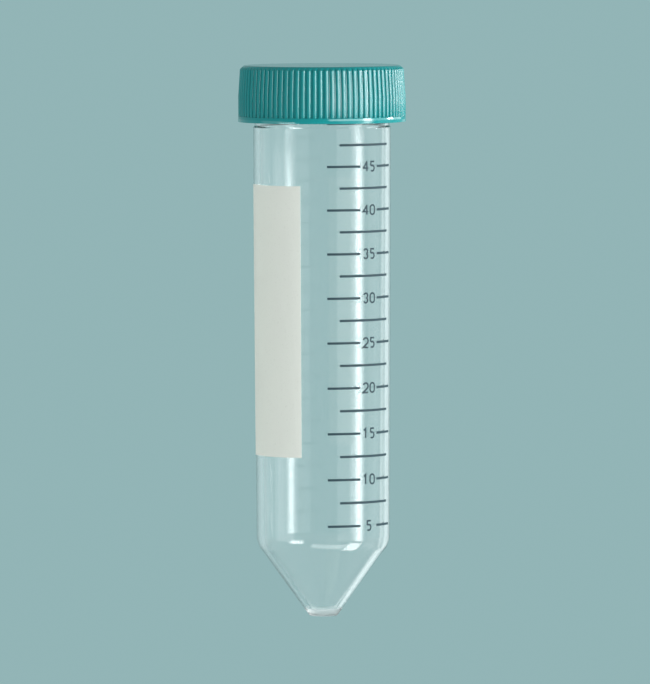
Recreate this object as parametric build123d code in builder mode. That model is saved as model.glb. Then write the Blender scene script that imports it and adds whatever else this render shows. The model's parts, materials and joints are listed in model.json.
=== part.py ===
"""A 50 ml conical tube with a ribbed screw cap, a seal disc, a writing patch and a printed scale.

The closed tube stands upside down on the flat top of its cap, which is how it stands without
a rack. The origin is the centre of the cap's top face, on the surface that the cap stands on.
+Z is the tube's axis, from the cap towards the conical tip. Millimetres throughout.

The cap and the neck carry right-hand threads of one pitch. Turning the tube counterclockwise
about +Z lifts it by one pitch a turn, out of the cap.
"""

import os
from math import cos, floor, hypot, pi, radians, sin, sqrt

from build123d import *

os.makedirs("parts", exist_ok=True)

# --- Tube ---------------------------------------------------------------------------------
tube_length = 114.4  # from the rim to the flat end of the tip
barrel_radius = 14.6  # outside, on the straight stretch next to the cap
barrel_draft = 0.45  # how much the outside radius shrinks from there to the cone
mouth_wall = 1.28  # wall thickness at the rim's end of the bore, measured at the barrel
shoulder_wall = 1.49  # wall thickness where the barrel meets the cone
straight_length = 4.0  # cylindrical stretch of the barrel, where a rack's hole guides it
neck_step = 0.3  # how much the threaded neck is set in from the barrel
step_gap = 0.8  # neck left showing between the cap's edge and the step
cone_height = 15.6
cone_wall = 1.3  # measured square to the cone
tip_radius = 2.9  # of the flat end
tip_floor = 1.6
shoulder_round = 2.0
tip_round = 0.6
rim_round = 0.25

# --- Cap and seal -------------------------------------------------------------------------
cap_height = 12.0
cap_top_wall = 1.6
cap_wall = 1.65  # from the thread's root to the bottom of the ribs, at the open edge
straight_skirt = 5.5  # from the open edge to where the skirt starts to draw in
cap_draft = 0.42  # how much the skirt's radius shrinks from there to the top
band_height = 1.25  # plain band at the open edge
band_overhang = 0.05  # how far the band stands out past the ribs
cap_top_round = 0.7
mouth_chamfer = 0.4
rib_count = 88
rib_start = -89.0  # azimuth of the first rib, in degrees
rib_depth = 0.4
rib_width = 0.9
rib_crest_width = 0.18  # flat left between the rib's rounded edges
rib_end = 0.3  # from the cap's top face to the ribs' ends
rib_runout = 0.5  # height over which a rib rises to its full depth
rib_sink = 0.3  # how deep a rib's foot is buried in the skirt
seal_thickness = 1.0
seal_clearance = 0.35  # radial, from the seal disc to the cap's bore
seal_round = 0.2

# --- Thread -------------------------------------------------------------------------------
pitch = 4.0
thread_height = 1.05  # radial, of either thread
thread_root_width = 1.5  # along the axis, at the wall that the thread stands on
thread_crest_width = 0.7
thread_sink = 0.25  # how deep the thread's foot is buried in its wall
crest_clearance = 0.35  # radial, from a crest to the facing wall
flank_clearance = 0.3  # along the axis, between the flanks that carry the load
neck_thread_lead = 0.55  # bare neck between the rim and the thread's first flank
cap_thread_lead = 0.4  # bare bore between the thread's last flank and the cap's edge chamfer

# --- Print --------------------------------------------------------------------------------
ink_thickness = 0.04
line_thickness = 0.5
scale_step_ml = 2.5
numbered_every = 2  # every second line is a long one with a number
long_line_start, number_start, number_end, long_line_end = 4.0, 33.5, 52.5, 75.0  # degrees
short_line_start, short_line_end = 14.6, 69.2
digit_height = 2.0  # over its strokes' middles
digit_width = 1.3
digit_spacing = 1.9  # from one digit's middle to the next one's
digit_stroke = 0.36
patch_thickness = 0.05
patch_from_rim = 22.6  # from the rim to the patch's near edge
patch_length = 57.4
patch_start, patch_width = -18.5, 75.0  # degrees: its edge beside the scale, and its width

# --- Worked out from the sizes above ------------------------------------------------------
rim_z = cap_top_wall + seal_thickness
tip_z = rim_z + tube_length
step_z = cap_height + step_gap
straight_end_z = step_z + neck_step + straight_length
shoulder_z = tip_z - cone_height
neck_radius = barrel_radius - neck_step
shoulder_radius = barrel_radius - barrel_draft
bore_radius = barrel_radius - mouth_wall
bore_end_radius = shoulder_radius - shoulder_wall

cone_slope = (shoulder_radius - tip_radius) / cone_height  # radius lost for each mm of height
cone_wall_across = cone_wall * hypot(1, cone_slope)  # the cone's wall, measured along a radius
floor_z = tip_z - tip_floor
floor_radius = tip_radius + cone_slope * tip_floor - cone_wall_across
bore_end_z = shoulder_z - (bore_end_radius + cone_wall_across - shoulder_radius) / cone_slope
bore_widening = (bore_radius - bore_end_radius) / (bore_end_z - rim_z)  # for each mm of height
cone_area = pi / 3 * (bore_end_radius**2 + bore_end_radius * floor_radius + floor_radius**2)
cone_volume = cone_area * (floor_z - bore_end_z)  # of the bore in the cone, in mm3

cap_bore_radius = neck_radius + thread_height + crest_clearance
rib_root_radius = cap_bore_radius + cap_wall
band_radius = rib_root_radius + rib_depth + band_overhang
band_z = cap_height - band_height
drafted_z = cap_height - straight_skirt
skirt_slope = cap_draft / drafted_z  # radius gained for each mm of height
rib_round = (rib_width - rib_crest_width) / 2
seal_radius = cap_bore_radius - seal_clearance

thread_flank = (thread_root_width - thread_crest_width) / 2 / thread_height
flanks_across = thread_root_width - thread_flank * (thread_height + crest_clearance)
thread_offset = flanks_across + flank_clearance  # from the neck's thread up to the cap's
neck_thread_z = rim_z + neck_thread_lead + thread_root_width / 2
cap_thread_z = neck_thread_z + thread_offset
thread_rise = cap_height - mouth_chamfer - cap_thread_lead - thread_root_width / 2 - cap_thread_z


def skirt_radius(z):
    """Radius of the cap's skirt between its ribs, at height z."""
    return rib_root_radius - skirt_slope * max(0.0, drafted_z - z)


def top_edge_radius(z):
    """Radius of the rounded edge of the cap's top, at height z."""
    inset = cap_top_round - z
    return skirt_radius(0) - cap_top_round + sqrt(cap_top_round**2 - inset**2)


def is_proud(point):
    """True for a point of a rib that stands out of the skirt, short of the band's face."""
    return point.X > skirt_radius(point.Z) - rib_sink / 2 and rib_end < point.Z < band_z


def outside_radius(z):
    """Radius of the tube's outside at height z, on the neck, the step and the barrel."""
    if z < step_z + neck_step:
        return neck_radius + max(0.0, z - step_z)
    drafted = max(0.0, z - straight_end_z) / (shoulder_z - straight_end_z)
    return barrel_radius - barrel_draft * drafted


def held_volume(z):
    """Volume in ml that the tube holds, tip down, when it is filled to height z in the barrel."""
    radius = bore_end_radius + bore_widening * (bore_end_z - z)
    barrel_volume = pi / 3 / bore_widening * (radius**3 - bore_end_radius**3)
    return (cone_volume + barrel_volume) / 1000


def fill_height(volume_ml):
    """Height z in the barrel that a volume fills the tube to, tip down."""
    barrel_volume = 1000 * volume_ml - cone_volume
    radius = (bore_end_radius**3 + 3 / pi * bore_widening * barrel_volume) ** (1 / 3)
    return bore_end_z - (radius - bore_end_radius) / bore_widening


def around(angle):
    """Azimuth, in degrees from +X, of a place on the print. The scale faces -Y and runs to -X."""
    return -90 - angle


def print_plane(angle, z):
    """Plane on the tube's axis that faces outwards at a place on the print, its y towards the cap."""
    turn = radians(around(angle))
    outwards = (cos(turn), sin(turn), 0)
    sideways = (sin(turn), -cos(turn), 0)
    return Plane(origin=(0, 0, z), x_dir=sideways, z_dir=outwards)


def half_plane(azimuth):
    """Plane through the axis, its x pointing outwards at an azimuth and its y along the axis."""
    turn = radians(azimuth)
    return Plane(origin=(0, 0, 0), x_dir=(cos(turn), sin(turn), 0), z_dir=(sin(turn), -cos(turn), 0))


def corner(section, radius, z):
    """The corner of a section, drawn on the XZ plane, that lies at a radius and a height."""
    return section.vertices().sort_by_distance((radius, z, 0))[0]


def ring_piece(z_start, z_end, thickness, start, end):
    """Adds a thin curved strip on the outside of the tube, between two angles of the print."""
    bends = [z for z in (step_z, step_z + neck_step, straight_end_z) if z_start < z < z_end]
    heights = [z_start, *bends, z_end]
    with BuildSketch(half_plane(around(end))) as section:
        with BuildLine():
            Polyline(
                *[(outside_radius(z) + thickness, z) for z in heights],
                *[(outside_radius(z), z) for z in reversed(heights)],
                close=True,
            )
        make_face()
    revolve(section.sketch, axis=Axis.Z, revolution_arc=end - start)


def thread_ridge(z, rise, foot_radius, crest_radius):
    """Adds a right-hand thread: a trapezoid swept along a helix that starts over +X at height z."""
    outwards = 1 if crest_radius > foot_radius else -1
    foot = foot_radius - outwards * thread_sink
    foot_width = thread_root_width + 2 * thread_flank * thread_sink
    with BuildLine():
        path = Helix(pitch=pitch, height=rise, radius=foot, center=(0, 0, z))
    with BuildSketch(Plane.XZ) as section:
        with BuildLine():
            Polyline(
                (foot, z - foot_width / 2),
                (foot, z + foot_width / 2),
                (crest_radius, z + thread_crest_width / 2),
                (crest_radius, z - thread_crest_width / 2),
                close=True,
            )
        make_face()
    sweep(sections=section.sketch, path=path, is_frenet=True)


# --- Tube: one clear moulding, with rim, threaded neck, barrel, cone and flat tip -----------
with BuildPart() as tube:
    with BuildSketch(Plane.XZ) as tube_section:
        with BuildLine():
            Polyline(
                (0, tip_z),
                (tip_radius, tip_z),
                (shoulder_radius, shoulder_z),
                (barrel_radius, straight_end_z),
                (barrel_radius, step_z + neck_step),
                (neck_radius, step_z),
                (neck_radius, rim_z),
                (bore_radius, rim_z),
                (bore_end_radius, bore_end_z),
                (floor_radius, floor_z),
                (0, floor_z),
                close=True,
            )
        make_face()
        fillet(corner(tube_section, shoulder_radius, shoulder_z), shoulder_round)
        fillet(corner(tube_section, bore_end_radius, bore_end_z), shoulder_round)
        fillet(corner(tube_section, tip_radius, tip_z), tip_round)
        fillet(corner(tube_section, floor_radius, floor_z), tip_round)
        fillet(corner(tube_section, neck_radius, rim_z), rim_round)
        fillet(corner(tube_section, bore_radius, rim_z), rim_round)
    revolve(axis=Axis.Z)
    thread_ridge(neck_thread_z, thread_rise, neck_radius, neck_radius + thread_height)
tube.part.label = "tube"

# --- Screw cap: one moulding, with a flat top, a ribbed skirt, a plain band and its thread ---
with BuildPart() as rib:
    with BuildSketch(Plane.XZ):
        with BuildLine():
            Polyline(
                (top_edge_radius(rib_end) - rib_sink, rib_end),
                (skirt_radius(rib_end + rib_runout) + rib_depth, rib_end + rib_runout),
                (rib_root_radius + rib_depth, drafted_z),
                (rib_root_radius + rib_depth, band_z),
                (rib_root_radius - rib_sink, band_z),
                (rib_root_radius - rib_sink, drafted_z),
                (skirt_radius(cap_top_round) - rib_sink, cap_top_round),
                close=True,
            )
        make_face()
    extrude(amount=rib_width / 2, both=True)
    side_edges = rib.faces().filter_by(Axis.Y).edges()
    fillet(side_edges.filter_by(lambda edge: is_proud(edge.center())), rib_round)

with BuildPart() as screw_cap:
    with BuildSketch(Plane.XZ) as cap_section:
        with BuildLine():
            Polyline(
                (0, 0),
                (skirt_radius(0), 0),
                (rib_root_radius, drafted_z),
                (rib_root_radius, band_z),
                (band_radius, band_z),
                (band_radius, cap_height),
                (cap_bore_radius, cap_height),
                (cap_bore_radius, cap_top_wall),
                (0, cap_top_wall),
                close=True,
            )
        make_face()
        fillet(corner(cap_section, skirt_radius(0), 0), cap_top_round)
        chamfer(corner(cap_section, cap_bore_radius, cap_height), mouth_chamfer)
    revolve(axis=Axis.Z)
    thread_ridge(cap_thread_z, thread_rise, cap_bore_radius, cap_bore_radius - thread_height)
    with PolarLocations(0, rib_count, start_angle=rib_start):
        add(rib.part)
screw_cap.part.label = "screw_cap"

# --- Seal disc: lies on the cap's inner face, behind the thread, and meets the tube's rim ----
with BuildPart() as seal_disc:
    with BuildSketch(Plane.XY.offset(cap_top_wall)):
        Circle(seal_radius)
    extrude(amount=seal_thickness)
    fillet(seal_disc.edges().group_by(Axis.Z)[-1], seal_round)
seal_disc.part.label = "seal_disc"

# --- Writing patch: a printed white field on the barrel --------------------------------------
with BuildPart() as writing_patch:
    patch_z = rim_z + patch_from_rim
    ring_piece(patch_z, patch_z + patch_length, patch_thickness, patch_start - patch_width, patch_start)
writing_patch.part.label = "writing_patch"

# --- Scale: a line every step, long and broken by a number at every second one --------------
scale_steps = floor(held_volume(cap_height - line_thickness / 2) / scale_step_ml)
scale_volumes = [scale_step_ml * step for step in range(numbered_every, scale_steps + 1)]
long_volumes = scale_volumes[::numbered_every]
# The last line may be on the neck, where there is no room for a number.
numbered_volumes = [
    volume for volume in long_volumes if fill_height(volume) - digit_height > step_z + neck_step
]


def scale_line(volume, start, end):
    """Adds one line of the scale, between two angles, at the height of its volume."""
    z = fill_height(volume)
    ring_piece(z - line_thickness / 2, z + line_thickness / 2, ink_thickness, start, end)


with BuildPart() as scale_lines:
    for volume in scale_volumes:
        if volume in long_volumes:
            scale_line(volume, long_line_start, number_start)
            scale_line(volume, number_end, long_line_end)
        else:
            scale_line(volume, short_line_start, short_line_end)
scale_lines.part.label = "scale_lines"


def digit_strokes(digit, x):
    """Draws the middle lines of a digit's strokes, centred on x and on its line."""
    half, top = digit_width / 2, digit_height / 2
    if digit == "0":
        CenterArc((x, top - half), half, 0, 180)
        CenterArc((x, half - top), half, 180, 180)
        Line((x - half, half - top), (x - half, top - half))
        Line((x + half, half - top), (x + half, top - half))
    elif digit == "1":
        Polyline((x, -top), (x, top), (x - half * 0.7, top * 0.6))
    elif digit == "2":
        hook = CenterArc((x, top - half), half, 160, -195)
        Polyline(hook @ 1, (x - half, -top), (x + half, -top))
    elif digit == "3":
        CenterArc((x, top / 2), top / 2, 160, -235)
        CenterArc((x, -top / 2), top / 2, 75, -235)
    elif digit == "4":
        stem, bar = x + half * 0.4, -top * 0.35
        Line((stem, -top), (stem, top))
        Polyline((stem, top * 0.95), (x - half, bar), (x + half, bar))
    elif digit == "5":
        Polyline((x + half * 0.8, top), (x - half * 0.7, top), (x - half * 0.8, top * 0.1))
        CenterArc((x - half * 0.1, -top * 0.4), top * 0.6, 130, -260)


def printed_number(volume):
    """A number of the scale, centred on the line of its volume, as a print on the barrel."""
    z, digits = fill_height(volume), f"{volume:.0f}"
    with BuildPart() as printed:
        ring_piece(z - digit_height, z + digit_height, ink_thickness, number_start, number_end)
        with BuildSketch(print_plane((number_start + number_end) / 2, z)) as strokes:
            with BuildLine():
                for place, digit in enumerate(digits):
                    digit_strokes(digit, digit_spacing * (place - (len(digits) - 1) / 2))
            trace(line_width=digit_stroke)
        extrude(strokes.sketch, amount=barrel_radius + 1, mode=Mode.INTERSECT)
    return printed.part


numbers = [printed_number(volume) for volume in numbered_volumes]
with BuildPart() as scale_numbers:
    add(numbers)
scale_numbers.part.label = "scale_numbers"

for piece in (tube, screw_cap, seal_disc, writing_patch, scale_lines, scale_numbers):
    export_step(piece.part, f"parts/{piece.part.label}.step")
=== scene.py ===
"""A conical centrifuge tube with a ribbed screw cap, dressed around its packed solid model.

The tube stands upside down on its cap, with the cap's flat top on the floor at the origin and +Z
from the cap to the conical tip. Metres throughout; sizes given in this script are in millimetres *
MM.
"""

import json
from math import atan2, ceil, cos, hypot, pi, radians, sin, tan

import bmesh
import bpy
from bpy.props import FloatProperty, FloatVectorProperty, IntProperty
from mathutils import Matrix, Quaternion, Vector

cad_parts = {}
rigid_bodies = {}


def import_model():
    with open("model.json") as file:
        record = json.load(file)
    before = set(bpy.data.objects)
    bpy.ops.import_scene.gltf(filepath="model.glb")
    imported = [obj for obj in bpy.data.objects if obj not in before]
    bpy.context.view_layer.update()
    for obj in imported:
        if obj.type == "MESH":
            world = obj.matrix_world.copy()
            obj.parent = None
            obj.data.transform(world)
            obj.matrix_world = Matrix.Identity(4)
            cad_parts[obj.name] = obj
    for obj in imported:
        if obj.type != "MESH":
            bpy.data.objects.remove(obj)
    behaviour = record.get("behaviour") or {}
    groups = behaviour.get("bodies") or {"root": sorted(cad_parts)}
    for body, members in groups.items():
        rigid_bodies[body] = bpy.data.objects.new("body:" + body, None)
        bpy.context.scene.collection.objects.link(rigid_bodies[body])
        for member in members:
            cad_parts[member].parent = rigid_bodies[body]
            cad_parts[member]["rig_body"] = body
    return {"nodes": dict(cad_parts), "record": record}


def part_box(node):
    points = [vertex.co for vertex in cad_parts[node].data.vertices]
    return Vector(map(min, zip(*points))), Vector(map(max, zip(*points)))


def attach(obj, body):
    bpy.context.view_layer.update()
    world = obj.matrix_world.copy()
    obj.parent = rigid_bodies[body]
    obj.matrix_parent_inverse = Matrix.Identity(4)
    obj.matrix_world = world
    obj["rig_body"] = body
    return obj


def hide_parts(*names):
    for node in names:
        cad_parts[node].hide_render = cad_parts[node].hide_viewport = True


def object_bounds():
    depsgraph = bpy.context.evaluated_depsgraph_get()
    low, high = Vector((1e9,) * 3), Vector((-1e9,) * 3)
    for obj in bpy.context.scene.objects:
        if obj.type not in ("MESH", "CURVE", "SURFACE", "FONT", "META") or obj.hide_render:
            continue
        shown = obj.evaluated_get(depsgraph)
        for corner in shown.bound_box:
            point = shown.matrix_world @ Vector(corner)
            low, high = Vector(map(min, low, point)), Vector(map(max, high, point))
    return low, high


bl_info = {
    "name": "Conical Centrifuge Tube",
    "version": (1, 0, 0),
    "blender": (4, 5, 0),
    "location": "3D View > Sidebar > Tube",
    "description": "Builds a clear conical tube with a ribbed screw cap and a printed scale",
    "category": "Add Mesh",
}

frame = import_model()
cad_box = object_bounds()

MM = 0.001
MERGE_DISTANCE = 0.002 * MM  # closer than this, vertices are one
SMOOTH_BELOW = 35  # degrees between two faces that are shaded as one surface
THREAD_SMOOTH_BELOW = 30
CORNER_STEPS = 8  # faces across a rounded corner of the tube
FADE_RINGS = 5  # over which a thread's end sinks into its wall
FIRST_RIB = -89.0  # azimuth of one of the cap's ribs, in degrees
RIB_EDGE_ANGLES = (0, 30, 60, 90)  # where a rib's rounded edge has its points
RIB_FOOT = 0.02 * MM  # from a rib's rounded edge to the foot beside it
TOP_STEPS = 6  # faces across the rounding of the cap's top

# Patterns in the materials, in features a metre
FLOW_MARKS = 260
PIGMENT_CLOUDS = 90
MOULD_GRAIN = 4200
INK_SPECKS = 2600

CLEAR_EDGE = 0.62  # how bright the clear plastic stays where it is seen edge on
LAMPLIGHT_KEPT = 0.97  # share of a lamp's light that the clear plastic lets past
TIP_FROST = 0.4  # roughness added on the flat tip
FROST_START = 2.0 * MM  # how far before the tip's end the frost starts
FROST_FULL = 1.4 * MM  # and how far before it the frost is full
PATCH_SHINE_THROUGH = 0.35  # share of the writing patch's light that comes through it

FLOOR_Z = 0.02 * MM  # just above the cap's flat top, so that light from below reaches the cap
FLOOR_FADE = (0.15, 0.62)  # distances over which the floor turns into the background
SKY_STRENGTH = 0.5

# Soft lights. Azimuths count from the camera's side towards -X, which is on the camera's right.
TUBE_LIGHTS = (
    # name, azimuth, distance, width, lowest and highest z, brightness
    ("strip_right_core", 66, 0.70, 0.11, 0.045, 0.30, 4.4),
    ("strip_right", 66, 0.71, 0.19, 0.04, 0.30, 2.6),
    ("strip_right_glow", 64, 0.73, 0.32, 0.035, 0.30, 1.3),
    ("fill_right", 42, 0.75, 0.46, 0.03, 0.30, 0.7),
    ("side_right", 97, 0.76, 0.40, 0.03, 0.60, 0.48),
    ("edge_right", 127, 0.75, 0.40, 0.03, 0.60, 0.2),
    ("back_right", 152, 0.75, 0.26, 0.03, 0.60, 0.5),
    ("fill_left", -72, 0.75, 0.52, 0.05, 0.30, 0.9),
    ("flag_left", -128, 0.78, 1.00, 0.03, 0.45, 0.15),
    ("lamp_right", 63, 0.70, 0.34, 0.40, 0.90, 6.0),
    ("lamp_left", -50, 0.70, 0.32, 0.20, 0.42, 7.0),
    ("overhead", 15, 0.76, 1.20, 0.60, 0.90, 2.0),
)
CAP_LIGHTS = (  # from below; they don't show through the clear tube
    ("cap_front", 38, 0.75, 0.80, -0.20, 0.02, 5.5),
    ("cap_side", 105, 0.78, 1.05, -0.20, 0.02, 2.4),
    ("cap_strip", 66, 0.70, 0.16, -0.20, 0.03, 18.0),
    ("cap_lamp", 108, 0.70, 0.14, -0.11, -0.04, 40.0),
    ("cap_flag", -98, 0.75, 2.00, -0.20, 0.045, 0.02),
)
# name, azimuth, distance, height, (width, depth), brightness; behind, clear of the cone's front
TOP_LIGHT = ("top_light", 180, 0.35, 0.95, (0.60, 0.60), 1.0)

rack_seat = next(mount for mount in frame["record"]["mounts"] if mount["name"] == "rack_seat")
cap_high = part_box("screw_cap")[1]
tube_low, tube_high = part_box("tube")


def length(name, description, default):
    """A property that holds a length in metres."""
    return FloatProperty(
        name=name, description=description, default=default, min=0.0, precision=5, unit="LENGTH"
    )


def colour(name, description, default):
    """A property that holds a linear colour."""
    return FloatVectorProperty(
        name=name,
        description=description,
        default=default,
        size=3,
        min=0.0,
        max=1.0,
        subtype="COLOR",
    )


class TubeSizes(bpy.types.PropertyGroup):
    """Sizes of the clear moulding."""

    barrel_radius: length(
        "Barrel radius", "Outside, beside the cap", rack_seat["dims"]["r_mm"] * MM
    )
    straight_length: length(
        "Straight length", "Cylindrical stretch beside the cap", rack_seat["dims"]["length_mm"] * MM
    )
    barrel_draft: length("Barrel draft", "Radius lost from there to the cone", 0.45 * MM)
    mouth_wall: length("Mouth wall", "Thickness of the barrel at the rim", 1.28 * MM)
    shoulder_wall: length("Shoulder wall", "Thickness where the barrel meets the cone", 1.49 * MM)
    neck_step: length("Neck step", "How far the threaded neck is set in", 0.3 * MM)
    step_round: length("Step rounding", "Rounding of the step's two corners", 0.12 * MM)
    cone_height: length("Cone height", "From the shoulder to the flat tip", 15.6 * MM)
    cone_wall: length("Cone wall", "Thickness, square to the cone", 1.3 * MM)
    tip_radius: length("Tip radius", "Of the flat end", 2.9 * MM)
    tip_floor: length("Tip floor", "Thickness of the flat end", 1.6 * MM)
    shoulder_round: length("Shoulder rounding", "Where the barrel meets the cone", 4.0 * MM)
    tip_round: length("Tip rounding", "Around the flat end", 0.6 * MM)
    rim_round: length("Rim rounding", "Both edges of the rim", 0.25 * MM)
    steps_around: IntProperty(
        name="Steps around", description="Faces round the tube", default=192, min=24
    )


class ThreadSizes(bpy.types.PropertyGroup):
    """Sizes that the neck's thread and the cap's thread share."""

    pitch: length("Pitch", "Rise of one turn", 4.0 * MM)
    depth: length("Depth", "From the wall to the crest", 1.05 * MM)
    root_width: length("Root width", "Along the axis, at the wall", 1.5 * MM)
    crest_width: length("Crest width", "Along the axis, at the crest", 0.7 * MM)
    sink: length("Sink", "How deep the foot is buried in its wall", 0.25 * MM)
    crest_clearance: length("Crest clearance", "From a crest to the facing wall", 0.35 * MM)
    flank_clearance: length("Flank clearance", "Between the flanks that touch", 0.3 * MM)
    neck_lead: length("Neck lead", "Bare neck between the rim and its thread", 0.55 * MM)
    cap_lead: length("Cap lead", "Bare bore between the thread and the mouth's chamfer", 0.4 * MM)
    steps_per_turn: IntProperty(
        name="Steps a turn", description="Faces along one turn", default=96, min=12
    )


class CapSizes(bpy.types.PropertyGroup):
    """Sizes of the screw cap."""

    top_wall: length("Top wall", "Thickness of the flat top", 1.6 * MM)
    skirt_wall: length("Skirt wall", "From the bore to the ribs' feet, at the band", 1.65 * MM)
    straight_skirt: length(
        "Straight skirt", "From the open edge to where the skirt draws in", 5.5 * MM
    )
    draft: length("Draft", "Radius lost from there to the top", 0.42 * MM)
    band_height: length("Band height", "Plain band at the open edge", 1.25 * MM)
    band_overhang: length("Band overhang", "How far the band stands out past the ribs", 0.05 * MM)
    band_round: length("Band rounding", "Both outer edges of the band", 0.12 * MM)
    top_round: length("Top rounding", "Around the flat top", 0.7 * MM)
    mouth_chamfer: length("Mouth chamfer", "At the bore's open end", 0.4 * MM)
    rib_count: IntProperty(name="Ribs", description="Grip ribs round the skirt", default=88, min=3)
    rib_depth: length("Rib depth", "How far a rib stands out", 0.4 * MM)
    rib_width: length("Rib width", "Across a rib's foot", 0.9 * MM)
    rib_crest: length("Rib crest", "Flat left between a rib's rounded edges", 0.18 * MM)
    rib_end: length("Rib end", "From the flat top to where the ribs begin", 0.3 * MM)
    rib_runout: length("Rib run-out", "Height over which a rib rises", 0.5 * MM)


class Finishes(bpy.types.PropertyGroup):
    """Colours of the materials."""

    clear: colour("Clear plastic", "Tint of the tube's wall", (0.97, 0.985, 0.985))
    cap: colour("Cap", "Moulded aqua plastic", (0.0, 0.19, 0.195))
    seal: colour("Seal", "Soft natural plastic", (0.86, 0.87, 0.85))
    patch: colour("Writing patch", "Matt white print", (0.74, 0.775, 0.73))
    ink: colour("Scale ink", "Dark screen print", (0.012, 0.035, 0.045))


class StageSettings(bpy.types.PropertyGroup):
    """Camera, floor and light."""

    camera_distance: length("Camera distance", "From the tube's axis", 2.2)
    camera_drop: length("Camera drop", "How far the camera is below the cap's flat top", 0.0576)
    aim_height: length("Aim height", "Height of the point that the camera looks at", 0.0588)
    aim_side: length("Aim offset", "How far that point is from the axis, towards -X", 0.0005)
    camera_roll: FloatProperty(
        name="Camera roll",
        description="Turn about the line of sight",
        subtype="ANGLE",
        default=radians(-0.18),
    )
    lens: FloatProperty(
        name="Lens", description="Focal length in millimetres", default=546.2, min=1.0
    )
    floor_radius: length("Floor radius", "Of the round floor", 2.6)
    background: colour("Background", "Behind the tube", (0.29, 0.46, 0.47))
    floor: colour("Floor", "Near the tube", (0.52, 0.62, 0.62))


GROUPS = {
    "tube_sizes": TubeSizes,
    "tube_thread": ThreadSizes,
    "tube_cap": CapSizes,
    "tube_finishes": Finishes,
    "tube_stage": StageSettings,
}


# --- Modelling helpers ----------------------------------------------------------------------


def radial(radius, z):
    """A point of a section, drawn on the XZ plane."""
    return Vector((radius, 0, z))


def edited_shape():
    """The mesh that is being edited, as a bmesh."""
    return bmesh.from_edit_mesh(bpy.context.object.data)


def select_only(vertices):
    """Selects these vertices of the mesh that is being edited."""
    bpy.ops.mesh.select_all(action="DESELECT")
    for vertex in vertices:
        vertex.select_set(True)
    shape = edited_shape()
    shape.select_flush_mode()
    bmesh.update_edit_mesh(bpy.context.object.data)


def start_wire(name, point):
    """Adds an object of one vertex and leaves it selected, in edit mode."""
    bpy.ops.object.select_all(action="DESELECT")
    bpy.ops.mesh.primitive_plane_add(size=MM)
    bpy.context.object.name = name
    bpy.context.object.data.name = name
    bpy.ops.object.mode_set(mode="EDIT")
    bpy.context.tool_settings.mesh_select_mode = (True, False, False)
    bpy.ops.mesh.merge(type="CENTER")
    bpy.ops.transform.translate(value=point)


def draw_wire(name, points):
    """Draws an open wire through the points, in edit mode, one extruded vertex at a time."""
    start_wire(name, points[0])
    for here, there in zip(points, points[1:]):
        bpy.ops.mesh.extrude_vertices_move(TRANSFORM_OT_translate={"value": there - here})


def round_corners(corners, segments):
    """Rounds the wire's corners that have a radius. A corner is (point, radius)."""
    for (before, _), (point, radius), (after, _) in zip(corners, corners[1:], corners[2:]):
        if radius:
            turn = (point - before).angle(after - point)
            select_only([min(edited_shape().verts, key=lambda vertex: (vertex.co - point).length)])
            bpy.ops.mesh.bevel(
                offset_type="OFFSET",
                offset=radius * tan(turn / 2),
                segments=segments,
                affect="VERTICES",
            )


def select_indices(indices):
    """Selects the vertices of the mesh that is being edited by their numbers."""
    shape = edited_shape()
    shape.verts.ensure_lookup_table()
    select_only([shape.verts[index] for index in indices])


def size_ring(radius_of):
    """Moves the selected ring's vertices in or out, each to the radius that it should have."""
    by_factor = {}
    for vertex in edited_shape().verts:
        if vertex.select:
            factor = round(radius_of(vertex) / vertex.co.xy.length, 6)
            by_factor.setdefault(factor, []).append(vertex.index)
    ring = [index for indices in by_factor.values() for index in indices]
    for factor, indices in by_factor.items():
        select_indices(indices)
        bpy.ops.transform.resize(value=(factor, factor, 1), center_override=(0, 0, 0))
    select_indices(ring)


def merge_and_face_out():
    """Closes seams and poles of the mesh that is being edited and turns its faces outwards."""
    bpy.ops.mesh.select_all(action="SELECT")
    bpy.ops.mesh.remove_doubles(threshold=MERGE_DISTANCE)
    bpy.ops.mesh.normals_make_consistent(inside=False)


def leave_edit_mode(smooth_below):
    """Leaves edit mode and shades the object smooth where its faces meet at less than an angle."""
    bpy.ops.object.mode_set(mode="OBJECT")
    bpy.ops.object.shade_smooth_by_angle(angle=radians(smooth_below))
    return bpy.context.object


def lathe(name, corners, segments, steps):
    """Draws a section, rounds its corners and spins it about the Z axis into a closed solid."""
    draw_wire(name, [point for point, _ in corners])
    round_corners(corners, segments)
    bpy.ops.mesh.select_all(action="SELECT")
    bpy.ops.mesh.spin(steps=steps, angle=2 * pi, center=(0, 0, 0), axis=(0, 0, 1))
    merge_and_face_out()
    return leave_edit_mode(SMOOTH_BELOW)


def fade_ends(points, rings, foot, crest):
    """Sinks the crest of the ridge being edited into its wall over its first and last rings."""
    for step in range(FADE_RINGS):
        share = (step + 0.5) / FADE_RINGS
        factor = (foot + share * (crest - foot)) / crest
        for ring in (step, rings - 1 - step):
            vertices = list(edited_shape().verts)[ring * points : (ring + 1) * points]
            on_crest = [
                vertex for vertex in vertices if abs(vertex.co.xy.length - crest) < 0.01 * MM
            ]
            select_only(on_crest)
            bpy.ops.transform.resize(value=(factor, factor, 1), center_override=(0, 0, 0))


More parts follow.
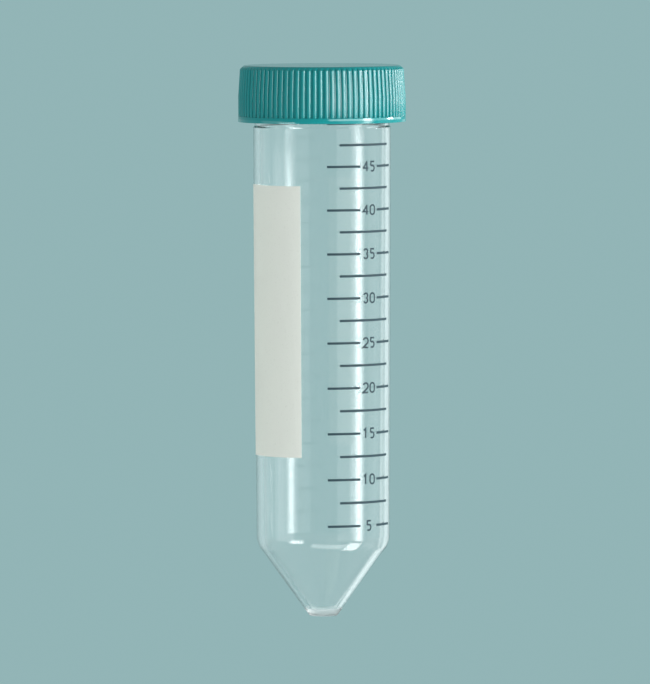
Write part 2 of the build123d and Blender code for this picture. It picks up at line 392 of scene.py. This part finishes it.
def thread_ridge(name, z, rise, foot_radius, crest_radius, thread):
    """A right-hand thread that starts over +X at height z and fades into its wall at both ends."""
    outwards = 1 if crest_radius > foot_radius else -1
    flank = (thread.root_width - thread.crest_width) / 2 / thread.depth
    foot = foot_radius - outwards * thread.sink
    foot_width = thread.root_width + 2 * flank * thread.sink
    section = [
        radial(foot, z - foot_width / 2),
        radial(crest_radius, z - thread.crest_width / 2),
        radial(crest_radius, z + thread.crest_width / 2),
        radial(foot, z + foot_width / 2),
    ]
    steps = ceil(thread.steps_per_turn * rise / thread.pitch)
    draw_wire(name, section)
    bpy.ops.mesh.select_all(action="SELECT")
    bpy.ops.mesh.edge_face_add()
    bpy.ops.mesh.delete(type="ONLY_FACE")
    bpy.ops.object.mode_set(mode="OBJECT")
    ridge = bpy.context.object
    bpy.ops.object.modifier_add(type="SCREW")
    screw = ridge.modifiers[-1]
    screw.angle = 2 * pi * rise / thread.pitch
    screw.screw_offset = rise
    screw.steps = screw.render_steps = steps
    bpy.ops.object.modifier_apply(modifier=screw.name)
    bpy.ops.object.mode_set(mode="EDIT")
    fade_ends(len(section), steps + 1, foot, crest_radius)
    bpy.ops.mesh.select_all(action="SELECT")
    bpy.ops.mesh.fill_holes(sides=0)
    merge_and_face_out()
    return leave_edit_mode(THREAD_SMOOTH_BELOW)


def unite(piece, addition):
    """Joins an overlapping solid to a piece, as one closed mesh."""
    bpy.ops.object.select_all(action="DESELECT")
    bpy.context.view_layer.objects.active = piece
    piece.select_set(True)
    bpy.ops.object.modifier_add(type="BOOLEAN")
    union = piece.modifiers[-1]
    union.operation = "UNION"
    union.solver = "EXACT"
    union.object = addition
    bpy.ops.object.modifier_apply(modifier=union.name)
    bpy.data.objects.remove(addition)
    bpy.ops.object.shade_smooth_by_angle(angle=radians(SMOOTH_BELOW))
    bpy.ops.object.modifier_add(type="WEIGHTED_NORMAL")
    large_faces_lead = piece.modifiers[-1]
    large_faces_lead.keep_sharp = True
    bpy.ops.object.modifier_apply(modifier=large_faces_lead.name)


def dress(piece, node, material):
    """Puts a finished piece in the place of its CAD node, on the same body."""
    piece.data.materials.clear()
    piece.data.materials.append(material)
    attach(piece, frame["nodes"][node]["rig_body"])
    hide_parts(node)


# --- Materials ------------------------------------------------------------------------------


def add_node(tree, kind, **values):
    """Adds a shader node and sets its properties, or its inputs where it has no such property."""
    node = tree.nodes.new(kind)
    for name, value in values.items():
        if hasattr(node, name):
            setattr(node, name, value)
        else:
            node.inputs[name.replace("_", " ").title()].default_value = value
    return node


def new_material(name):
    """An empty material with its node tree, its Principled node and its Object coordinates."""
    material = bpy.data.materials.new(name)
    material.use_nodes = True
    tree = material.node_tree
    principled = tree.nodes["Principled BSDF"]
    coordinates = add_node(tree, "ShaderNodeTexCoord").outputs["Object"]
    return material, tree, principled, coordinates


def stretched(tree, coordinates, scale):
    """The coordinates, scaled by a factor along each axis."""
    mapping = add_node(tree, "ShaderNodeMapping")
    mapping.inputs["Scale"].default_value = scale
    tree.links.new(coordinates, mapping.inputs["Vector"])
    return mapping.outputs["Vector"]


def noise(tree, vector, scale, detail=2.0):
    """A noise pattern's value, with so many features a metre."""
    texture = add_node(tree, "ShaderNodeTexNoise")
    texture.inputs["Scale"].default_value = scale
    texture.inputs["Detail"].default_value = detail
    tree.links.new(vector, texture.inputs["Vector"])
    return texture.outputs["Fac"]


def ranged(tree, value, low, high, start=0.3, end=0.7):
    """A value brought from the range start to end into the range low to high."""
    mapped = add_node(tree, "ShaderNodeMapRange")
    for name, number in (("From Min", start), ("From Max", end), ("To Min", low), ("To Max", high)):
        mapped.inputs[name].default_value = number
    tree.links.new(value, mapped.inputs["Value"])
    return mapped.outputs["Result"]


def blend_colours(tree, factor, first, second):
    """A colour between two colours, by a factor from 0 to 1."""
    mix = add_node(tree, "ShaderNodeMix", data_type="RGBA")
    colour_sockets = [socket for socket in mix.inputs if socket.type == "RGBA"]
    colour_sockets[0].default_value = (*first, 1)
    colour_sockets[1].default_value = (*second, 1)
    tree.links.new(factor, mix.inputs["Factor"])
    return next(socket for socket in mix.outputs if socket.type == "RGBA")


def add_bump(tree, principled, height, strength, distance):
    """Lets a pattern raise the surface."""
    bump = add_node(tree, "ShaderNodeBump")
    bump.inputs["Strength"].default_value = strength
    bump.inputs["Distance"].default_value = distance
    tree.links.new(height, bump.inputs["Height"])
    tree.links.new(bump.outputs["Normal"], principled.inputs["Normal"])


def show_surface(tree, shader):
    """Makes a mixed shader the material's surface, in place of the Principled node."""
    tree.links.new(shader.outputs["Shader"], tree.nodes["Material Output"].inputs["Surface"])


def scaled(tint, factor):
    """A colour made lighter or darker."""
    return tuple(min(1.0, channel * factor) for channel in tint)


def clear_plastic(tint):
    """Clear moulded plastic: slow flow marks along the tube, darker edges and a frosted tip."""
    material, tree, principled, coordinates = new_material("clear_plastic")
    principled.inputs["Transmission Weight"].default_value = 0.99
    principled.inputs["IOR"].default_value = 1.5
    flow = noise(tree, stretched(tree, coordinates, (1, 1, 0.12)), FLOW_MARKS)
    edge = add_node(tree, "ShaderNodeLayerWeight", blend=0.35).outputs["Facing"]
    edge_share = ranged(tree, edge, 0, 1, 0.45, 0.98)
    body = blend_colours(tree, edge_share, tint, scaled(tint, CLEAR_EDGE))
    tree.links.new(body, principled.inputs["Base Color"])
    height = add_node(tree, "ShaderNodeSeparateXYZ")
    tree.links.new(coordinates, height.inputs["Vector"])
    frost_start, frost_full = tube_high.z - FROST_START, tube_high.z - FROST_FULL
    frosted = ranged(tree, height.outputs["Z"], 0, TIP_FROST, frost_start, frost_full)
    roughness = add_node(tree, "ShaderNodeMath", operation="ADD")
    tree.links.new(ranged(tree, flow, 0.03, 0.07), roughness.inputs[0])
    tree.links.new(frosted, roughness.inputs[1])
    tree.links.new(roughness.outputs["Value"], principled.inputs["Roughness"])
    add_bump(tree, principled, flow, 0.06, 0.05 * MM)
    through = add_node(tree, "ShaderNodeBsdfTransparent")
    through.inputs["Color"].default_value = (*scaled(tint, LAMPLIGHT_KEPT), 1)
    light_path = add_node(tree, "ShaderNodeLightPath")
    lamps_pass = add_node(tree, "ShaderNodeMixShader")
    tree.links.new(light_path.outputs["Is Shadow Ray"], lamps_pass.inputs["Fac"])
    tree.links.new(principled.outputs["BSDF"], lamps_pass.inputs[1])
    tree.links.new(through.outputs["BSDF"], lamps_pass.inputs[2])
    show_surface(tree, lamps_pass)
    return material


def moulded_plastic(name, tint, low_roughness, high_roughness, grain, gloss=0.5):
    """Opaque moulded plastic: cloudy pigment, a satin gloss that varies and a fine grain."""
    material, tree, principled, coordinates = new_material(name)
    principled.inputs["Specular IOR Level"].default_value = gloss
    clouds = noise(tree, coordinates, PIGMENT_CLOUDS, 3.0)
    body = blend_colours(tree, ranged(tree, clouds, 0, 1), scaled(tint, 0.94), scaled(tint, 1.06))
    tree.links.new(body, principled.inputs["Base Color"])
    fine = noise(tree, coordinates, MOULD_GRAIN)
    roughness = ranged(tree, clouds, low_roughness, high_roughness)
    tree.links.new(roughness, principled.inputs["Roughness"])
    add_bump(tree, principled, fine, 0.35, grain)
    return material


def printed_ink(name, tint, worn, cover, shine_through=0.0):
    """Screen-printed ink: a slightly rough coat with specks where it is thinner."""
    material, tree, principled, coordinates = new_material(name)
    principled.inputs["Specular IOR Level"].default_value = 0.25
    specks = noise(tree, coordinates, INK_SPECKS, 4.0)
    body = blend_colours(tree, ranged(tree, specks, 0, 1, cover, cover + 0.12), tint, worn)
    tree.links.new(body, principled.inputs["Base Color"])
    tree.links.new(ranged(tree, specks, 0.45, 0.7), principled.inputs["Roughness"])
    add_bump(tree, principled, specks, 0.3, 0.01 * MM)
    if shine_through:
        lit_from_behind = add_node(tree, "ShaderNodeBsdfTranslucent")
        lit_from_behind.inputs["Color"].default_value = (*tint, 1)
        thin_coat = add_node(tree, "ShaderNodeMixShader")
        thin_coat.inputs["Fac"].default_value = shine_through
        tree.links.new(principled.outputs["BSDF"], thin_coat.inputs[1])
        tree.links.new(lit_from_behind.outputs["BSDF"], thin_coat.inputs[2])
        show_surface(tree, thin_coat)
    return material


# --- Pieces ---------------------------------------------------------------------------------


class TUBE_OT_moulded_tube(bpy.types.Operator):
    """Model the clear tube with its rim, threaded neck, barrel, cone and flat tip"""

    bl_idname = "tube.moulded_tube"
    bl_label = "Clear Tube"

    def execute(self, context):
        sizes, thread = context.scene.tube_sizes, context.scene.tube_thread
        rim_z, tip_z = tube_low.z, tube_high.z
        straight_start = rack_seat["pos_m"][2] - sizes.straight_length / 2
        step_z = straight_start - sizes.neck_step
        shoulder_z = tip_z - sizes.cone_height
        neck_radius = sizes.barrel_radius - sizes.neck_step
        shoulder_radius = sizes.barrel_radius - sizes.barrel_draft
        bore_radius = sizes.barrel_radius - sizes.mouth_wall
        bore_end_radius = shoulder_radius - sizes.shoulder_wall
        cone_slope = (shoulder_radius - sizes.tip_radius) / sizes.cone_height
        wall_across = sizes.cone_wall * hypot(1, cone_slope)
        floor_radius = sizes.tip_radius + cone_slope * sizes.tip_floor - wall_across
        bore_end_z = shoulder_z - (bore_end_radius + wall_across - shoulder_radius) / cone_slope
        tube = lathe(
            "clear_tube",
            [
                (radial(0, tip_z), 0),
                (radial(sizes.tip_radius, tip_z), sizes.tip_round),
                (radial(shoulder_radius, shoulder_z), sizes.shoulder_round),
                (radial(sizes.barrel_radius, straight_start + sizes.straight_length), 0),
                (radial(sizes.barrel_radius, straight_start), sizes.step_round),
                (radial(neck_radius, step_z), sizes.step_round),
                (radial(neck_radius, rim_z), sizes.rim_round),
                (radial(bore_radius, rim_z), sizes.rim_round),
                (radial(bore_end_radius, bore_end_z), sizes.shoulder_round),
                (radial(floor_radius, tip_z - sizes.tip_floor), sizes.tip_round),
                (radial(0, tip_z - sizes.tip_floor), 0),
            ],
            CORNER_STEPS,
            sizes.steps_around,
        )
        start, rise, _ = thread_place(context)
        crest_radius = neck_radius + thread.depth
        ridge = thread_ridge("neck_thread", start, rise, neck_radius, crest_radius, thread)
        unite(tube, ridge)
        dress(tube, "tube", clear_plastic(context.scene.tube_finishes.clear))
        return {"FINISHED"}


def thread_place(context):
    """Where the neck's thread starts, how far both threads rise, and where the cap's starts."""
    thread, cap = context.scene.tube_thread, context.scene.tube_cap
    flank = (thread.root_width - thread.crest_width) / 2 / thread.depth
    flanks_across = thread.root_width - flank * (thread.depth + thread.crest_clearance)
    neck_start = tube_low.z + thread.neck_lead + thread.root_width / 2
    cap_start = neck_start + flanks_across + thread.flank_clearance
    rise = cap_high.z - cap.mouth_chamfer - thread.cap_lead - thread.root_width / 2 - cap_start
    return neck_start, rise, cap_start


def rib_columns(cap, root_radius):
    """Places across a rib, valley to valley: (azimuth from its middle, share of its depth)."""
    rounding = (cap.rib_width - cap.rib_crest) / 2
    flank = [(cap.rib_width / 2 + RIB_FOOT, 0.0)]
    for angle in RIB_EDGE_ANGLES:
        offset = cap.rib_crest / 2 + rounding * cos(radians(angle))
        flank.append((offset, 1 - rounding * (1 - sin(radians(angle))) / cap.rib_depth))
    half_gap = pi / cap.rib_count
    left = [(-offset / root_radius, share) for offset, share in flank]
    right = [(-azimuth, share) for azimuth, share in reversed(left)]
    return [(-half_gap, 0.0), *left, *right]


def cap_levels(cap, root_radius, band_radius, bore_radius):
    """The cap's rings, from its flat top out and into its bore: (z, radius, share of the ribs)."""
    height = cap_high.z
    top_radius = root_radius - cap.draft
    levels = []
    for step in range(1, TOP_STEPS + 1):
        angle = radians(90 * step / TOP_STEPS)
        z = cap.top_round * (1 - cos(angle))
        radius = top_radius - cap.top_round * (1 - sin(angle))
        levels.append((z, radius, max(0.0, min(1.0, (z - cap.rib_end) / cap.rib_runout))))
    drafted_z = height - cap.straight_skirt
    full_rib_z = cap.rib_end + cap.rib_runout
    band_z = height - cap.band_height
    rounded = cap.band_round * (1 - cos(radians(45)))
    return [
        *levels,
        (full_rib_z, root_radius - cap.draft * (1 - full_rib_z / drafted_z), 1),
        (drafted_z, root_radius, 1),
        (band_z, root_radius, 1),
        (band_z, band_radius - cap.band_round, 0),
        (band_z + rounded, band_radius - rounded, 0),
        (band_z + cap.band_round, band_radius, 0),
        (height - cap.band_round, band_radius, 0),
        (height - rounded, band_radius - rounded, 0),
        (height, band_radius - cap.band_round, 0),
        (height, bore_radius + cap.mouth_chamfer, 0),
        (height - cap.mouth_chamfer, bore_radius, 0),
        (cap.top_wall, bore_radius, 0),
    ]


class TUBE_OT_ribbed_cap(bpy.types.Operator):
    """Model the screw cap with its rounded top, ribbed skirt, plain band and inner thread"""

    bl_idname = "tube.ribbed_cap"
    bl_label = "Ribbed Cap"

    def execute(self, context):
        cap, thread = context.scene.tube_cap, context.scene.tube_thread
        band_radius = cap_high.x
        root_radius = band_radius - cap.band_overhang - cap.rib_depth
        bore_radius = root_radius - cap.skirt_wall
        flat_radius = root_radius - cap.draft - cap.top_round
        columns = rib_columns(cap, root_radius)
        gap = 2 * pi / cap.rib_count
        first_rib = radians(FIRST_RIB)

        def place(azimuth):
            return Vector((flat_radius * cos(azimuth), flat_radius * sin(azimuth), 0))

        # One rib's stretch of the flat top's edge, repeated all the way round
        azimuths = [first_rib + azimuth for azimuth, _ in columns] + [first_rib + gap / 2]
        draw_wire("ribbed_cap", [place(azimuth) for azimuth in azimuths])
        bpy.ops.mesh.select_all(action="SELECT")
        bpy.ops.mesh.spin(
            steps=cap.rib_count, dupli=True, angle=2 * pi, center=(0, 0, 0), axis=(0, 0, 1)
        )
        bpy.ops.mesh.select_all(action="SELECT")
        bpy.ops.mesh.remove_doubles(threshold=MERGE_DISTANCE)

        def rib_share(vertex):
            azimuth = atan2(vertex.co.y, vertex.co.x) - first_rib
            azimuth = (azimuth + gap / 2) % gap - gap / 2
            return min(columns, key=lambda column: abs(abs(column[0]) - abs(azimuth)))[1]

        z_now = 0.0
        for z, radius, share in cap_levels(cap, root_radius, band_radius, bore_radius):
            bpy.ops.mesh.extrude_edges_move(TRANSFORM_OT_translate={"value": (0, 0, z - z_now)})
            z_now = z
            size_ring(lambda vertex: radius + share * cap.rib_depth * rib_share(vertex))
        bpy.ops.mesh.edge_face_add()
        select_only([vertex for vertex in edited_shape().verts if vertex.co.z < 0.001 * MM])
        bpy.ops.mesh.edge_face_add()
        merge_and_face_out()
        piece = leave_edit_mode(SMOOTH_BELOW)
        _, rise, start = thread_place(context)
        crest_radius = bore_radius - thread.depth
        ridge = thread_ridge("cap_thread", start, rise, bore_radius, crest_radius, thread)
        unite(piece, ridge)
        tint = context.scene.tube_finishes.cap
        material = moulded_plastic("aqua_plastic", tint, 0.09, 0.14, 0.006 * MM, gloss=0.6)
        dress(piece, "screw_cap", material)
        return {"FINISHED"}


class TUBE_OT_seal(bpy.types.Operator):
    """Give the sealing disc its soft natural plastic"""

    bl_idname = "tube.seal"
    bl_label = "Sealing Disc"

    def execute(self, context):
        tint = context.scene.tube_finishes.seal
        material = moulded_plastic("soft_seal", tint, 0.5, 0.62, 0.02 * MM)
        frame["nodes"]["seal_disc"].material_slots[0].material = material
        return {"FINISHED"}


class TUBE_OT_print(bpy.types.Operator):
    """Give the writing patch, the scale lines and the numbers their inks"""

    bl_idname = "tube.print"
    bl_label = "Print"

    def execute(self, context):
        finishes = context.scene.tube_finishes
        thin_white = scaled(finishes.patch, 0.9)
        white = printed_ink("white_ink", finishes.patch, thin_white, 0.6, PATCH_SHINE_THROUGH)
        dark = printed_ink("dark_ink", finishes.ink, scaled(finishes.ink, 2.5), 0.62)
        frame["nodes"]["writing_patch"].material_slots[0].material = white
        for node in ("scale_lines", "scale_numbers"):
            frame["nodes"][node].material_slots[0].material = dark
        return {"FINISHED"}


# --- Stage ----------------------------------------------------------------------------------


def around_tube(degrees, distance, height):
    """A point at an azimuth counted from the camera's side towards -X."""
    turn = radians(degrees)
    return Vector((-distance * sin(turn), -distance * cos(turn), height))


def add_softbox(name, degrees, distance, height, size, brightness):
    """An area light that faces the tube, as bright as a white card of that brightness."""
    place = around_tube(degrees, distance, height)
    facing = (Vector((0, 0, min(height, cad_box[1][2]))) - place).to_track_quat("-Z", "Y")
    bpy.ops.object.light_add(type="AREA", location=place, rotation=facing.to_euler())
    softbox = bpy.context.object
    softbox.name = name
    softbox.data.shape = "RECTANGLE"
    softbox.data.size, softbox.data.size_y = size
    softbox.data.energy = brightness * pi * size[0] * size[1]
    softbox.visible_camera = False
    return softbox


class TUBE_OT_stage(bpy.types.Operator):
    """Set up the camera, the floor, the background and the soft lights"""

    bl_idname = "tube.stage"
    bl_label = "Stage"

    def execute(self, context):
        stage = context.scene.tube_stage
        self.add_camera(context, stage)
        self.add_floor(stage)
        self.light_world(context, stage)
        for lights, seen_through_tube in ((TUBE_LIGHTS, True), (CAP_LIGHTS, False)):
            for name, degrees, distance, width, low, high, brightness in lights:
                middle, size = (low + high) / 2, (width, high - low)
                softbox = add_softbox(name, degrees, distance, middle, size, brightness)
                softbox.visible_transmission = seen_through_tube
        add_softbox(*TOP_LIGHT)
        context.scene.view_settings.view_transform = "Standard"
        return {"FINISHED"}

    def add_camera(self, context, stage):
        """The camera looks slightly up at the tube, turned over so that the cap is on top."""
        place = Vector((0, -stage.camera_distance, -stage.camera_drop))
        aim = Vector((-stage.aim_side, 0, stage.aim_height))
        turned_over = Quaternion((0, 0, 1), pi + stage.camera_roll)
        facing = (aim - place).to_track_quat("-Z", "Y") @ turned_over
        bpy.ops.object.camera_add(location=place, rotation=facing.to_euler())
        camera = bpy.context.object
        camera.data.sensor_width = 36
        camera.data.lens = stage.lens
        context.scene.camera = camera

    def add_floor(self, stage):
        """A round floor that fades into the background and that is clear from below."""
        bpy.ops.object.select_all(action="DESELECT")
        bpy.ops.mesh.primitive_circle_add(
            vertices=96, radius=stage.floor_radius, fill_type="NGON", location=(0, 0, FLOOR_Z)
        )
        floor = bpy.context.object
        floor.name = "floor"
        material, tree, principled, coordinates = new_material("pale_floor")
        principled.inputs["Base Color"].default_value = (*stage.floor, 1)
        principled.inputs["Roughness"].default_value = 0.85
        distance = add_node(tree, "ShaderNodeVectorMath", operation="LENGTH")
        tree.links.new(coordinates, distance.inputs[0])
        far = ranged(tree, distance.outputs["Value"], 0, 1, *FLOOR_FADE)
        backdrop = add_node(tree, "ShaderNodeEmission")
        backdrop.inputs["Color"].default_value = (*stage.background, 1)
        fade = add_node(tree, "ShaderNodeMixShader")
        tree.links.new(far, fade.inputs["Fac"])
        tree.links.new(principled.outputs["BSDF"], fade.inputs[1])
        tree.links.new(backdrop.outputs["Emission"], fade.inputs[2])
        path = add_node(tree, "ShaderNodeLightPath")
        seen = add_node(tree, "ShaderNodeMath", operation="MAXIMUM")
        tree.links.new(path.outputs["Is Camera Ray"], seen.inputs[0])
        tree.links.new(path.outputs["Is Transmission Ray"], seen.inputs[1])
        from_above = add_node(tree, "ShaderNodeMath", operation="SUBTRACT", use_clamp=True)
        tree.links.new(seen.outputs["Value"], from_above.inputs[0])
        geometry = add_node(tree, "ShaderNodeNewGeometry")
        tree.links.new(geometry.outputs["Backfacing"], from_above.inputs[1])
        one_sided = add_node(tree, "ShaderNodeMixShader")
        tree.links.new(from_above.outputs["Value"], one_sided.inputs["Fac"])
        clear = add_node(tree, "ShaderNodeBsdfTransparent")
        tree.links.new(clear.outputs["BSDF"], one_sided.inputs[1])
        tree.links.new(fade.outputs["Shader"], one_sided.inputs[2])
        show_surface(tree, one_sided)
        floor.data.materials.append(material)

    def light_world(self, context, stage):
        """What is seen past the tube is the background, and what lights it is a plain white sky."""
        world = bpy.data.worlds.new("studio")
        context.scene.world = world
        world.use_nodes = True
        tree = world.node_tree
        seen = tree.nodes["Background"]
        seen.inputs["Color"].default_value = (*stage.background, 1)
        sky = add_node(tree, "ShaderNodeBackground")
        sky.inputs["Color"].default_value = (1, 1, 1, 1)
        sky.inputs["Strength"].default_value = SKY_STRENGTH
        path = add_node(tree, "ShaderNodeLightPath")
        lights_matt = add_node(tree, "ShaderNodeMixShader")
        tree.links.new(path.outputs["Is Diffuse Ray"], lights_matt.inputs["Fac"])
        tree.links.new(seen.outputs["Background"], lights_matt.inputs[1])
        tree.links.new(sky.outputs["Background"], lights_matt.inputs[2])
        tree.links.new(lights_matt.outputs["Shader"], tree.nodes["World Output"].inputs["Surface"])


class TUBE_PT_panel(bpy.types.Panel):
    """The tube's sizes, colours and pieces"""

    bl_idname = "TUBE_PT_panel"
    bl_label = "Conical Tube"
    bl_space_type = "VIEW_3D"
    bl_region_type = "UI"
    bl_category = "Tube"

    def draw(self, context):
        for name, group in GROUPS.items():
            box = self.layout.box()
            box.label(text=group.__doc__)
            for setting in group.__annotations__:
                box.prop(getattr(context.scene, name), setting)
        for operator in OPERATORS:
            self.layout.operator(operator.bl_idname)


OPERATORS = (TUBE_OT_stage, TUBE_OT_moulded_tube, TUBE_OT_ribbed_cap, TUBE_OT_seal, TUBE_OT_print)


def register():
    """Registers the settings, the operators and the panel."""
    for name, group in GROUPS.items():
        bpy.utils.register_class(group)
        setattr(bpy.types.Scene, name, bpy.props.PointerProperty(type=group))
    for kind in (*OPERATORS, TUBE_PT_panel):
        bpy.utils.register_class(kind)


def unregister():
    """Takes them all away again."""
    for kind in (TUBE_PT_panel, *reversed(OPERATORS)):
        bpy.utils.unregister_class(kind)
    for name, group in GROUPS.items():
        delattr(bpy.types.Scene, name)
        bpy.utils.unregister_class(group)


def main():
    """Builds the whole tube."""
    register()
    bpy.ops.tube.stage()
    bpy.ops.tube.moulded_tube()
    bpy.ops.tube.ribbed_cap()
    bpy.ops.tube.seal()
    bpy.ops.tube.print()


if __name__ == "__main__":
    main()
